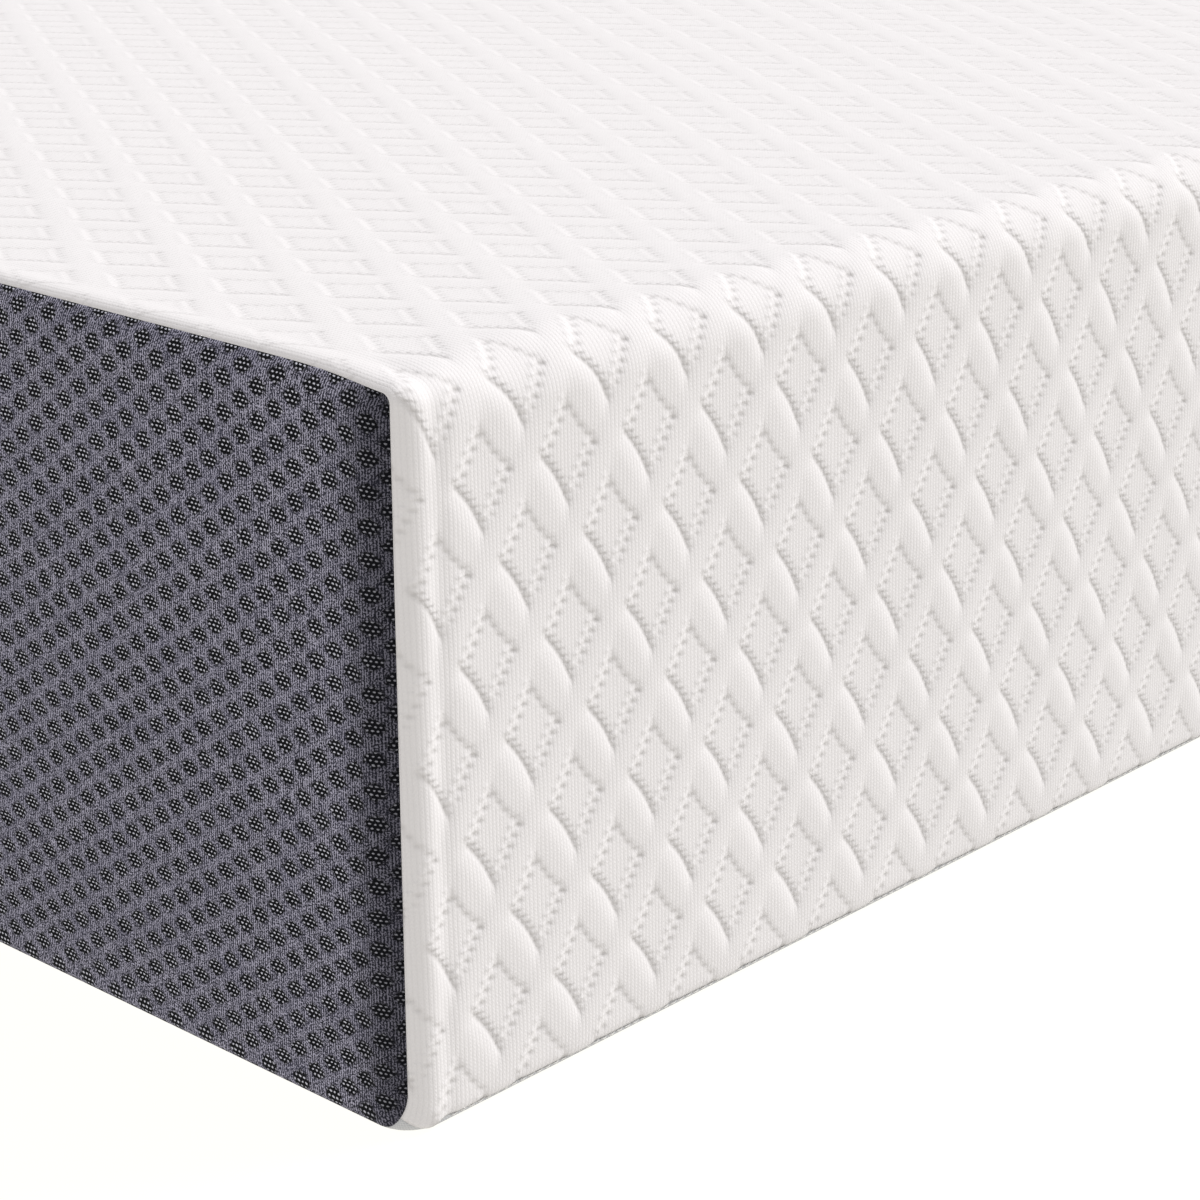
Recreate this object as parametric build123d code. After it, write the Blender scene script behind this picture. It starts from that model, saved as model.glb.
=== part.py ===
"""A memory foam mattress: three foam layers in an inner sock, inside a sewn knit cover with a zip.

Millimetres. The origin is on the floor under the middle of the mattress, +Z is up, +Y points to the head
end and X runs across. The patterned knit covers the top and both ends, and the two long sides are mesh.
"""
from build123d import *
import os

# Overall size: 60 x 80 inches, 8 inches thick
WIDTH = 1524.0
LENGTH = 2032.0
HEIGHT = 203.2

# How far each edge of the stuffed cover is rounded
ROLL_RADIUS = 24.0  # where the knit rolls over the top of an end
EDGE_RADIUS = 12.0  # along the sewn edges: top of the sides, upright corners and floor edges

# Thickness of each layer
COVER_THICKNESS = 3.0  # padded knit and spacer mesh
BASE_THICKNESS = 1.2  # the plain cloth underneath
SOCK_THICKNESS = 1.0
MEMORY_FOAM = 50.0
COMFORT_FOAM = 38.0

# Seams are sewn half way round each rounded edge, where it is this far inside both faces
SEAM_INSET = EDGE_RADIUS * (1 - 0.5**0.5)
THREAD_RADIUS = 0.4
TOP_LOOP_RADIUS = 12.0  # bend of the seam at the two top corners of a side panel
FLOOR_LOOP_RADIUS = 1.0  # bend of the seam at its two floor corners

# The zip across the head end
ZIP_HEIGHT = 30.0  # of its middle, above the floor
CHAIN_LENGTH = 1400.0  # inside of one stop to the far end of the other
STOP_LENGTH = 4.0
LIP_GAP = 8.0  # from the middle of the chain to the folded edge of the cloth
TAPE_REACH = 15.0  # from the middle of the chain to the sewn edge of a tape
TAPE_SLIT = 0.25  # half the gap between the two tapes
TAPE_THICKNESS = 0.8
TAPE_TAIL = 10.0  # tape beyond each end of the chain
COIL_WIDTH = 3.0
COIL_HEIGHT = 2.4
LIP_STITCH = 3.0  # from the folded edge of the cloth to its row of stitches

# The slider and its pull
SLIDER_LENGTH = 11.0
SLIDER_NOSE = 5.4  # half width at the end that leads when it closes
SLIDER_TAIL = 4.4  # half width at the other end
RUNNING_GAP = 0.3  # between the slider and the chain or tape
PLATE_THICKNESS = 1.4
CROWN_LENGTH = 6.0
CROWN_HEIGHT = 3.2
CROWN_WIDTH = 1.6
CROWN_HOLE_LENGTH = 2.0
CROWN_HOLE_HEIGHT = 1.7
PIVOT_HEIGHT = 1.3  # above the slider's plate
PIN_RADIUS = 0.6
PULL_LENGTH = 28.0
PULL_WIDTH = 7.0
PULL_THICKNESS = 1.1
PULL_EYE = 5.5  # length of the opening that clears the crown
PULL_ARM = 1.3  # width of each arm beside that opening

# The blank label sewn into the corner seam at the head
LABEL_REACH = 95.0
LABEL_LOW = 90.0
LABEL_HIGH = 150.0
LABEL_THICKNESS = 0.35

CUT_MARGIN = 10.0  # how far a cutting shape stands outside the mattress

half_width = WIDTH / 2
half_length = LENGTH / 2
tape_back = half_length - COVER_THICKNESS
tape_front = tape_back + TAPE_THICKNESS
coil_front = tape_front + COIL_HEIGHT
plate_back = coil_front + RUNNING_GAP
plate_front = plate_back + PLATE_THICKNESS
pivot_y = plate_front + PIVOT_HEIGHT
chain_end = CHAIN_LENGTH / 2
coil_end = chain_end - STOP_LENGTH
slider_x = coil_end - SLIDER_LENGTH / 2 - 1.0


def between(low, high):
    """A box from one corner to the opposite one."""
    size = [b - a for a, b in zip(low, high)]
    return Pos(*low) * Box(*size, align=Align.MIN)


def envelope(depth, floor_depth):
    """The stuffed shape, shrunk by `depth` at its top, ends and sides, and by `floor_depth` underneath."""
    x = half_width - depth
    y = half_length - depth
    block = between((-x, -y, floor_depth), (x, y, HEIGHT - depth))
    block = fillet(block.edges().filter_by(Axis.X).group_by(Axis.Z)[-1], ROLL_RADIUS - depth)
    by_side = block.faces().sort_by(Axis.X)
    floor_ends = block.edges().filter_by(Axis.X).group_by(Axis.Z)[0]
    sewn = by_side[0].edges() + by_side[-1].edges() + floor_ends
    return fillet(sewn, EDGE_RADIUS - depth)


def mitred(plane, size_x, size_y):
    """A frustum on `plane` with 45 degree flanks that pass through the edges of one face of the mattress."""
    face = plane.offset(CUT_MARGIN) * Rectangle(size_x + 2 * CUT_MARGIN, size_y + 2 * CUT_MARGIN)
    return extrude(face, amount=-(CUT_MARGIN + EDGE_RADIUS), taper=45)


def side_region(sign):
    """Everything that belongs to one long side, up to the seams round it."""
    plane = Plane(origin=(sign * half_width, 0, HEIGHT / 2), x_dir=(0, 1, 0), z_dir=(sign, 0, 0))
    return mitred(plane, LENGTH, HEIGHT)


def base_region(sides):
    """Everything that belongs to the underside, with its flap up to the zip at the head end."""
    plane = Plane(origin=(0, 0, 0), x_dir=(1, 0, 0), z_dir=(0, 0, -1))
    flap = between(
        (-half_width - CUT_MARGIN, tape_back - CUT_MARGIN, 0),
        (half_width + CUT_MARGIN, half_length + CUT_MARGIN, ZIP_HEIGHT),
    )
    region = mitred(plane, WIDTH, LENGTH) + flap
    for side in sides:
        region -= side
    return region


def tape(sign):
    """One zip tape, above the chain for sign 1 and below it for sign -1."""
    reach = chain_end + TAPE_TAIL
    edges = sorted([ZIP_HEIGHT + sign * TAPE_SLIT, ZIP_HEIGHT + sign * TAPE_REACH])
    return between((-reach, tape_back, edges[0]), (reach, tape_front, edges[1]))


def coil(sign):
    """One half of the closed chain: a bar whose outer edge is rounded like the coil's loops."""
    edges = sorted([0, sign * COIL_WIDTH])
    bar = between((-coil_end, tape_front, ZIP_HEIGHT + edges[0]), (coil_end, coil_front, ZIP_HEIGHT + edges[1]))
    long_edges = bar.edges().filter_by(Axis.X)
    outer = long_edges.sort_by(lambda e: sign * e.center().Z)[-2:]
    return fillet(outer, COIL_HEIGHT * 0.45)


def stop(x, low, high):
    """A stop clamped round the end of the chain, `low` and `high` from its middle."""
    block = between((x, tape_front, ZIP_HEIGHT + low), (x + STOP_LENGTH, coil_front + 0.6, ZIP_HEIGHT + high))
    return fillet(block.edges().group_by(Axis.Y)[-1], 0.5)


def straight_thread(start, end):
    """A straight run of sewing thread."""
    run = Line(start, end)
    return sweep(Plane(origin=run @ 0, z_dir=run % 0) * Circle(THREAD_RADIUS), path=run)


def side_thread(sign):
    """The closed loop of thread in the seam round one long side."""
    x = sign * (half_width - SEAM_INSET)
    y = half_length - SEAM_INSET
    low = SEAM_INSET
    high = HEIGHT - SEAM_INSET
    corners = [(x, 0, low), (x, y, low), (x, y, high), (x, -y, high), (x, -y, low)]
    bends = [FLOOR_LOOP_RADIUS, TOP_LOOP_RADIUS, TOP_LOOP_RADIUS, FLOOR_LOOP_RADIUS]
    path = FilletPolyline(*corners, (x, -1, low), radius=[*bends])
    closing = Line((x, -1, low), (x, 0, low))
    route = Wire([*path.edges(), *closing.edges()])
    return sweep(Plane(origin=(x, 0, low), z_dir=(0, 1, 0)) * Circle(THREAD_RADIUS), path=route)


def slider():
    """The slider's outer half: a plate with a flange down each side of the chain, and the crown."""
    nose = SLIDER_LENGTH / 2
    plan = Polyline(
        (-nose, -SLIDER_TAIL), (0, -SLIDER_TAIL), (nose, -SLIDER_NOSE),
        (nose, SLIDER_NOSE), (0, SLIDER_TAIL), (-nose, SLIDER_TAIL), close=True,
    )
    plan = fillet(make_face(plan).vertices(), 1.0)
    flange_back = tape_front + RUNNING_GAP
    plane = Plane(origin=(slider_x, flange_back, ZIP_HEIGHT), x_dir=(1, 0, 0), z_dir=(0, 1, 0))
    body = extrude(plane * plan, amount=plate_front - flange_back)
    channel = COIL_WIDTH + RUNNING_GAP
    body -= between(
        (slider_x - SLIDER_LENGTH, flange_back, ZIP_HEIGHT - channel),
        (slider_x + SLIDER_LENGTH, plate_back, ZIP_HEIGHT + channel),
    )
    arch = Pos(0, CROWN_HEIGHT / 2) * Rectangle(CROWN_LENGTH, CROWN_HEIGHT)
    arch = fillet(arch.vertices().group_by(Axis.Y)[-1], 1.4)
    arch -= Pos(0, PIVOT_HEIGHT) * Rectangle(CROWN_HOLE_LENGTH, CROWN_HOLE_HEIGHT)
    side_on = Plane(origin=(slider_x, plate_front, ZIP_HEIGHT), x_dir=(1, 0, 0), z_dir=(0, 0, 1))
    return body + extrude(side_on * arch, amount=CROWN_WIDTH / 2, both=True)


def pull():
    """The pull, lying flat along the closed chain, with the pin that turns in the slider's crown."""
    tip = -PULL_LENGTH
    plan = Pos((tip + 0.9) / 2, 0) * RectangleRounded(0.9 - tip, PULL_WIDTH, 0.8)
    eye_width = PULL_WIDTH - 2 * PULL_ARM
    plan -= Pos(-PULL_EYE / 2 + 1, 0) * Rectangle(PULL_EYE + 2, eye_width)
    plan -= Pos(tip + 4, 0) * SlotOverall(4.5, 2.5)
    plane = Plane(origin=(slider_x, pivot_y, ZIP_HEIGHT), x_dir=(1, 0, 0), z_dir=(0, 1, 0))
    blade = extrude(plane * plan, amount=PULL_THICKNESS / 2, both=True)
    pin = Pos(slider_x, pivot_y, ZIP_HEIGHT) * Cylinder(PIN_RADIUS, eye_width + PULL_ARM)
    return blade + pin


def label():
    """A blank label that follows the corner at the head end and lies flat on the knit."""
    skin = envelope(-LABEL_THICKNESS, -LABEL_THICKNESS) - envelope(0, 0)
    return skin & between(
        (half_width - LABEL_REACH, half_length - EDGE_RADIUS, LABEL_LOW),
        (half_width - SEAM_INSET - THREAD_RADIUS, half_length + CUT_MARGIN, LABEL_HIGH),
    )


def zip_parts():
    """Every piece of the zip by name."""
    middle = COIL_WIDTH + 0.4
    top_stops = stop(coil_end, 0.2, middle) + stop(coil_end, -middle, -0.2)
    lip = LIP_GAP + LIP_STITCH
    stitches = {
        name: straight_thread(
            (-chain_end, half_length, ZIP_HEIGHT + sign * lip), (chain_end, half_length, ZIP_HEIGHT + sign * lip)
        )
        for name, sign in (("zip_stitch_upper", 1), ("zip_stitch_lower", -1))
    }
    return {
        "zip_tape_upper": tape(1),
        "zip_tape_lower": tape(-1),
        "zip_coil_upper": coil(1),
        "zip_coil_lower": coil(-1),
        "zip_top_stops": top_stops,
        "zip_bottom_stop": stop(-chain_end, -middle, middle),
        "zip_slider": slider(),
        "zip_pull": pull(),
        **stitches,
    }


def seam_threads():
    """The thread of every sewn seam by name."""
    corner = half_width - SEAM_INSET - 2 * THREAD_RADIUS
    foot_y = -half_length + SEAM_INSET
    head_start = chain_end + TAPE_TAIL + 1
    head_end = half_width - EDGE_RADIUS
    head_runs = [
        straight_thread((sign * head_start, half_length, ZIP_HEIGHT), (sign * head_end, half_length, ZIP_HEIGHT))
        for sign in (-1, 1)
    ]
    return {
        "seam_thread_left": side_thread(-1),
        "seam_thread_right": side_thread(1),
        "seam_thread_foot": straight_thread((-corner, foot_y, SEAM_INSET), (corner, foot_y, SEAM_INSET)),
        "seam_thread_head": Compound(children=head_runs),
    }


def foam_layers(core):
    """The glued foam block, cut at its two glue lines."""
    top = HEIGHT - COVER_THICKNESS - SOCK_THICKNESS
    glue_lines = [-1, top - MEMORY_FOAM - COMFORT_FOAM, top - MEMORY_FOAM, HEIGHT]
    names = ["foam_base_layer", "foam_comfort_layer", "foam_memory_layer"]
    return {
        name: core & between((-WIDTH, -LENGTH, low), (WIDTH, LENGTH, high))
        for name, low, high in zip(names, glue_lines, glue_lines[1:])
    }


def cover_panels(shell, closers, threads):
    """The four sewn panels, with room for the zip's tapes, its opening and every thread."""
    sides = [side_region(-1), side_region(1)]
    base = base_region(sides)
    opening = between(
        (-chain_end, tape_back - 1, ZIP_HEIGHT - LIP_GAP), (chain_end, half_length + 1, ZIP_HEIGHT + LIP_GAP)
    )
    knit = shell - sides[0] - sides[1] - base - opening
    under = (shell & base) - opening
    for piece in closers:
        knit -= piece
        under -= piece
    panels = {
        "cover_top_panel": knit,
        "cover_side_left": shell & sides[0],
        "cover_side_right": shell & sides[1],
        "cover_base_panel": under,
    }
    for thread in threads:
        panels = {name: panel - thread for name, panel in panels.items()}
    return panels


def main():
    outside = envelope(0, 0)
    cover_inside = envelope(COVER_THICKNESS, BASE_THICKNESS)
    core = envelope(COVER_THICKNESS + SOCK_THICKNESS, BASE_THICKNESS + SOCK_THICKNESS)
    closing = zip_parts()
    threads = seam_threads()
    stitches = [closing["zip_stitch_upper"], closing["zip_stitch_lower"]]
    tapes = [closing["zip_tape_upper"], closing["zip_tape_lower"]]
    nodes = {
        **foam_layers(core),
        "inner_sock": cover_inside - core,
        **cover_panels(outside - cover_inside, tapes, [*threads.values(), *stitches]),
        **threads,
        **closing,
        "care_label": label(),
    }
    os.makedirs("parts", exist_ok=True)
    for name, shape in nodes.items():
        export_step(shape, f"parts/{name}.step")


main()
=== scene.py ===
"""A memory foam mattress: its sewn cover, zip, inner sock and foam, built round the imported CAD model.

Shapes are worked out in millimetres and handed to Blender in metres. The cloth panels carry their own
coordinates, u across the mattress and v along the cloth, so that the knit follows every edge that it
rolls over. The same formulas raise the panels' surface and drive their materials.
"""
import math

import bpy
import numpy as np
from mathutils import Matrix, Vector


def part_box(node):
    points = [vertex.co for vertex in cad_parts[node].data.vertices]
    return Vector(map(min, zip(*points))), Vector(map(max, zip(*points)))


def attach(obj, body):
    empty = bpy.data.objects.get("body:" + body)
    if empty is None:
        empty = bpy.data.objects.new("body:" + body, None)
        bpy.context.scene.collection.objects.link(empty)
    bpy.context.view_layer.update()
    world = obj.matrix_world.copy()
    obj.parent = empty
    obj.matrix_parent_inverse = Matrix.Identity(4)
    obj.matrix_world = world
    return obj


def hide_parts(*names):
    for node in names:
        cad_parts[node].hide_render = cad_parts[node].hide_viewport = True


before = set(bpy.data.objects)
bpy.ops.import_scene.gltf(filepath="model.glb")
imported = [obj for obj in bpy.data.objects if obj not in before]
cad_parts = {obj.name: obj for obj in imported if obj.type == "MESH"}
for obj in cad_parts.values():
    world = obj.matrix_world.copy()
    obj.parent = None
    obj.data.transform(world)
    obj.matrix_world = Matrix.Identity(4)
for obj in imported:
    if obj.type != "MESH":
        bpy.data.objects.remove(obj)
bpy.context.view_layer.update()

MM = 0.001
TINY = 1e-9
HALF_ROOT = math.sqrt(0.5)

# Steps between the rows of the cover's meshes, in millimetres
FINE_STEP = 0.85  # of the knit, near the view's corner
FAR_STEP = 3.6  # and far from it
FINE_HOLD = 60  # the steps stay fine for this long
COARSE_REACH = 900  # and grow over this
HEAD_STEP = 2.4  # of the knit over the end with the zip
SIDE_STEP = {"left": 1.2, "right": 2.2}  # of the mesh sides
SIDE_FAR_STEP = 3.2
SIDE_HOLD = 150
SIDE_REACH = 700
SIDE_NEAR_ROWS = 26  # over the rounded edges of a side
SIDE_FAR_ROWS = 18
SIDE_EDGE_ROWS = 22
BASE_STEP = 6
BASE_EDGE_STEP = 1.2
LOOP_POINTS = (1200, 240)  # along a side seam's long and short runs


def box_mm(node):
    """The lowest and highest corners of a CAD node at rest, in millimetres."""
    low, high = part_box(node)
    return np.array(low) / MM, np.array(high) / MM


# ---- sizes, in millimetres
_, top_high = box_mm("cover_top_panel")
side_low, side_high = box_mm("cover_side_left")
coil_low, _ = box_mm("zip_coil_upper")

HALF_WIDTH = max(-side_low[0], side_high[0])
HALF_LENGTH = top_high[1]
HEIGHT = top_high[2]

EDGE_RADIUS = 12.0  # of the sewn edges
ROLL_RADIUS = 15.0  # of the knit over the top of an end
TIGHT_ROLL = 6.0  # of the same roll where the side seam holds it
TIGHT_REACH = 22.0  # the seam's hold dies out this far in
SEAM_ANGLE = math.pi / 4  # a seam is half way round its rounded edge
SEAM_INSET = EDGE_RADIUS * (1 - math.cos(SEAM_ANGLE))
SEAM_START = EDGE_RADIUS * (1 - SEAM_ANGLE)  # where the cloth begins, measured along the cloth

ALLOWANCE = 2.5  # of cloth turned in beyond a seam
SEAM_LIFT = 1.8  # of the side seams round the top
SEAM_LIFT_REACH = 5.5
SEAM_PULL_DEPTH = 70.0  # the pull dies out this far below the top
CORNER_LIFT = 0.4  # more of the same towards the ends
CORNER_LIFT_REACH = 150.0
CORNER_DROOP = 2.6  # at the very corners, where the seams turn down
CORNER_DROOP_REACH = 20.0
CORNER_DROOP_WIDTH = 26.0
FLOOR_SQUARENESS = 8.0  # the power of the curve that the weight presses the lower edges into

ZIP_HEIGHT = coil_low[2]
LIP_GAP = 8.0  # from the chain's middle to the folded edges of the cloth
LIP_FOLD = 1.4  # radius of those folded edges
CHAIN_END = 700.0

# The corner that the photographed view looks at
NEAR_X, NEAR_Y = -HALF_WIDTH, -HALF_LENGTH

# ---- the knit's pattern, in millimetres
CELL_ACROSS = 30.8
CELL_ALONG = 48.6
CLOTH_SKEW = 0.0247  # the knit is sewn this far off its grain
PATTERN_START = (3.6, 4.8)  # u and v of one crossing
WALE = 1.40
COURSE = 1.15
LENS_RISE = 0.58
BAND_RISE = 0.64
CREASE_DEPTH = 0.42
PIT_DEPTH = 0.32
NUB_RISE = 0.20
RIM_RISE = 0.18
# Rows beside a "/" strand, in strand numbers: place, half width, start, end and softness of the ends
UPPER_PITS = (0.290, 0.050, 0.26, 0.72, 0.04)
LOWER_PITS = (0.845, 0.046, 0.36, 0.84, 0.04)
UPPER_NUBS = (0.190, 0.046, 0.16, 0.72, 0.05)
LOWER_NUBS = (0.755, 0.046, 0.26, 0.78, 0.05)
SURFACE_DROP = 0.5  # the knit's flat ground lies this far inside the CAD surface
DROP_REACH = 30  # from the side seams on
KNIT_WAVE = 0.45  # of the stuffed cover
PIPE_RISE = 0.35  # of the smooth band beside a seam
PIPE_PLACE = 6.0  # its distance from the seam
PIPE_REACH = 4.5
VALLEY_DEPTH = 0.55  # of the hollow where the relief begins
VALLEY_PLACE = 13.0
VALLEY_REACH = 3.2
TOP_CALM = 0.45  # the share of the relief, and of the knit's painted crease shade, that is drawn flat on the top
TOP_SHOULDER = 22.0
SEAM_FADE = (5.0, 17.0)  # the relief dies out between these distances from a side seam
ZIP_FADE = (2, 16)  # and between these from the zip's lip
FLOOR_FADE = 9  # it lessens this close to the floor seam
FLOOR_RELIEF = 0.45  # to this share

# ---- the mesh's pattern, in millimetres
ROSETTE_ACROSS = 12.9
ROSETTE_UP = 8.7
ROSETTE_SIZE = (3.0, 2.25)
ROSETTE_START = (2.2, 4.9)
ROSETTE_POWER = 1.4  # between a lozenge, at 1, and an ellipse, at 2
ROSETTE_ROOT = 0.714
DIMPLE_DEPTH = 0.38  # of a rosette
DIMPLE_RIM = (0.35, 1.15)
SIDE_CROWN = 0.9  # a side bulges by this at mid height
SIDE_WAVE = 0.35
SIDE_FADE = 9  # the bulge and the dimples die out this close to the seam
MESH_WALE = 0.85
DOT_ACROSS = 1.5
DOT_UP = 2.3
DOT_SIZE = (0.52, 0.32)

# ---- thread, zip, label and foam, in mm
TUBE_SIDES = 6
THREAD_TWIST = 0.55
STITCH_PITCH = 3.2
STITCH_LENGTH = 2.6
STITCH_RADIUS = 0.26
STITCH_TAPER = (0.35, 0.9, 1.0, 0.9, 0.35)  # of its radius, from end to end
STITCH_RISE = 0.30
SEAM_SINK = 0.62  # of the stitches below the cloth, in a seam
LIP_SINK = 0.12  # and along the zip's lips
LIPS_CLOSE = 16.0  # beyond the chain, the zip's lips meet within this
LIP_REGION = (80, 30)  # the lengths of knit and of base cloth that can follow
LIP_PULL = (4, 22)  # the cloth beside them follows less and less between these distances
COIL_PITCH = 1.45
COIL_WIRE = 0.33
COIL_MESHING = 0.7  # how far one coil's turns reach past the middle of the zip
TAPE_SPACING = 3.0
TAPE_ROWS = 7
TAPE_RIPPLE = 0.05
TAPE_WAVES = (9.0, 23.0, 7.0)
TWILL_BAND = 4.2
TWILL_PITCH = 0.8
LABEL_THICKNESS = 0.35
LABEL_LIFT = 1.7
LABEL_RISES = (2, 20)  # it comes away from the cloth between these distances from the seam
LABEL_WAVE = 0.5  # of its free end
LABEL_WAVY = (70, 92)
LABEL_WAVE_LENGTH = 9.0
LABEL_HEM = 0.22
HEM_EDGE = (2.2, 3.0)
LABEL_WEFT = 0.35
LABEL_WARP = 0.5
BASE_PITCH = 0.9
SOCK_THICKNESS = 0.9
SOCK_SWELL = 0.10
SOCK_RIB = 1.1
SOCK_LOOP = 0.9
SOCK_EDGE = 8.0
FOAM_EDGE = 7.0
FOAM_SPACING = 22.0
FOAM_SWELL = 0.25
ROLL_CLEARANCE = 3.6  # from the knit's roll in to the sock and the foam

# ---- colours
KNIT_WHITE = (0.632, 0.609, 0.612)
# painted shade that darkens the knit in its creases and pits
KNIT_CREASE_SHADE = (0.44, 0.42, 0.415)
# painted shade in the grooves between the knit's yarn columns, also reached by a random blotchy tone
KNIT_GAP_SHADE = (0.50, 0.48, 0.48)
MESH_DARK = (0.018, 0.018, 0.028)
MESH_LIGHT = (0.400, 0.385, 0.475)
MESH_BLUE = (0.105, 0.105, 0.175)
MESH_DOT = (0.62, 0.62, 0.69)
# painted shade: near black for the shade inside the rosettes' holes, and also for the painted shade toward
# the mesh's end seams
MESH_PAINTED_SHADE = (0.003, 0.003, 0.005)
ZINC_PAINT = (0.60, 0.59, 0.57)
ZINC_BARE = (0.52, 0.51, 0.50)

# Pairs that a material mixes: where its pattern is low, and where it is high
BASE_YARN = ((0.42, 0.42, 0.43), (0.62, 0.62, 0.62))
SOCK_YARN = ((0.50, 0.48, 0.44), (0.68, 0.66, 0.62))
THREAD_YARN = ((0.50, 0.49, 0.47), (0.66, 0.65, 0.63))
TAPE_YARN = ((0.42, 0.41, 0.40), (0.62, 0.61, 0.60))
LABEL_YARN = ((0.60, 0.60, 0.59), (0.72, 0.72, 0.71))
NYLON_CLOUD = ((0.66, 0.65, 0.63), (0.56, 0.55, 0.53))
FOAM_CELLS = {
    "support_foam": ((0.44, 0.41, 0.31), (0.66, 0.62, 0.50)),
    "comfort_foam": ((0.50, 0.50, 0.46), (0.70, 0.70, 0.66)),
    "memory_foam": ((0.60, 0.55, 0.40), (0.76, 0.71, 0.56)),
}

# Each foam layer: its piece, CAD node and slot, the size of its pores in millimetres, and its fill
FOAMS = (
    ("foam_base_block", "foam_base_layer", "support_foam", 1.6, 1.0),
    ("foam_comfort_block", "foam_comfort_layer", "comfort_foam", 1.1, 0.95),
    ("foam_memory_block", "foam_memory_layer", "memory_foam", 0.7, 0.9),
)

# ---- light and camera
WORLD_STRENGTH = 0.85
FLOOR_REACH = 30.0  # metres
FLOOR_DROP = 0.0005
FLOOR_GREY = (0.05, 0.05, 0.05, 1.0)
FLOOR_TINT = (1.0, 0.985, 0.925, 1.0)
FLOOR_GLOW = 1.01
KEY_DIRECTION = (0.74, -0.28, 0.61)
KEY_SPREAD = math.radians(24)
KEY_STRENGTH = 3.1

# The camera stands off the near floor corner, turned from +y towards +x and tipped down
CAMERA_OFFSET = (-0.4960, -0.5283, 0.4076)
CAMERA_YAW = math.radians(47.14)
CAMERA_PITCH = math.radians(19.67)
CAMERA_ROLL = math.radians(-0.19)
CAMERA_LENS = 95.09
SENSOR = 36.0


# ==== arithmetic for numbers and for nodes
class Field:
    """A number that a material works out at each point, written like ordinary arithmetic."""

    def __init__(self, tree, socket):
        self.tree = tree
        self.socket = socket

    def maths(self, operation, *others):
        node = self.tree.nodes.new("ShaderNodeMath")
        node.operation = operation
        for socket, value in zip(node.inputs, (self, *others)):
            plug(self.tree, value, socket)
        return Field(self.tree, node.outputs[0])

    def __add__(self, other):
        return self.maths("ADD", other)

    def __sub__(self, other):
        return self.maths("SUBTRACT", other)

    def __rsub__(self, other):
        return (self * -1.0) + other

    def __mul__(self, other):
        return self.maths("MULTIPLY", other)

    def __truediv__(self, other):
        return self.maths("DIVIDE", other)

    def __neg__(self):
        return self * -1.0

    __radd__ = __add__
    __rmul__ = __mul__


def plug(tree, value, socket):
    """Sets a node's input to a plain value, or links it to a Field or socket."""
    if isinstance(value, Field):
        tree.links.new(value.socket, socket)
    elif isinstance(value, bpy.types.NodeSocket):
        tree.links.new(value, socket)
    else:
        socket.default_value = value


def either(operation, plain):
    """A function that uses a maths node on a Field and numpy on plain numbers."""

    def work(x, *others):
        return x.maths(operation, *others) if isinstance(x, Field) else plain(x, *others)

    return work


sine = either("SINE", np.sin)
fraction = either("FRACT", lambda x: x - np.floor(x))
size_of = either("ABSOLUTE", np.abs)
greater = either("MAXIMUM", np.maximum)
lesser = either("MINIMUM", np.minimum)
power = either("POWER", np.power)
exponent = either("EXPONENT", np.exp)


def ribs(x, pitch):
    """Even ribs, from 0 to 1, one every `pitch`."""
    return sine(x * (2 * math.pi / pitch)) * 0.5 + 0.5


def bell(x):
    """1 at x = 0, falling smoothly to almost nothing at 2 either way."""
    return exponent(-(x * x))


def ramp(x, start, end):
    """0 up to start, 1 from end on, and a smooth step between."""
    part = lesser(greater((x - start) / (end - start), 0.0), 1.0)
    return part * part * (3.0 - 2.0 * part)


def window(x, start, end, soft):
    """1 between start and end, with soft shoulders."""
    return ramp(x, start - soft, start + soft) * (1.0 - ramp(x, end - soft, end + soft))


# ==== the knit's relief
def lattice(u, v):
    """The knit's two strand numbers: "\\" strands lie at whole s and "/" strands at whole t."""
    along = v - PATTERN_START[1]
    across = (u - PATTERN_START[0] + CLOTH_SKEW * along) / CELL_ACROSS
    return across + along / CELL_ALONG, across - along / CELL_ALONG


def firm_edge(t):
    """s of the crease down the right of a "\\" strand."""
    return 0.145 + 0.072 * sine((t - 0.08) * 3.307)


def loose_edge(t):
    """s of the row of pits down the left of the next "\\" strand."""
    return 0.735 + 0.072 * ramp(t, 0.5, 0.9) - 0.072 * ramp(t, 0.93, 1.0)


def pulses(phase, first, spacing):
    """Stitches that come once every `spacing`: 1 at `first` and 0 half way between."""
    wave = 0.5 + 0.5 * sine((phase - first + spacing / 4) * (2 * math.pi / spacing))
    return wave * wave


def short_row(a, b, place, reach, start, end, soft):
    """A row beside a "/" strand: 1 along its middle, at this place across the strand."""
    return bell((b - place) / reach) * window(a, start, end, soft)


def creases(s, t):
    """How deep the knit is drawn in, from 0 to 1: the long crease, the loose edge's pits, the two rows of
    pits beside a "/" strand, and the nubs that stand on the left of those. Each is a short level dash,
    because the stitches that draw the knit in follow its courses."""
    a = fraction(s)
    b = fraction(t)
    level = a - b
    across = a - firm_edge(b)
    teeth = bell((across - 0.045) / 0.042) * pulses(level, 0.010, 0.0905)
    uneven = 0.75 + 0.25 * sine(b * 61.0 + s * 17.0)
    firm = (0.80 * bell(across / 0.030) + 0.80 * teeth * uneven) * window(b, 0.19, 0.84, 0.07)
    tears = 0.40 + 0.60 * pulses(level, 0.161, 0.120)
    loose = bell((a - loose_edge(b)) / 0.034) * window(b, 0.25, 0.90, 0.05) * tears
    beat = pulses(level + 0.3 * (b - UPPER_PITS[0]), 0.151, 0.120)
    upper = short_row(a, b, *UPPER_PITS) * beat
    late = pulses(level + 0.3 * (b - LOWER_PITS[0]), -0.284, 0.107)
    lower = short_row(a, b, *LOWER_PITS) * late
    nubs = short_row(a, b, *UPPER_NUBS) * (0.25 + 0.75 * beat)
    rim = short_row(a, b, *LOWER_NUBS) * (0.25 + 0.75 * late)
    return firm, loose, upper, lower, nubs, rim


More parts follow.
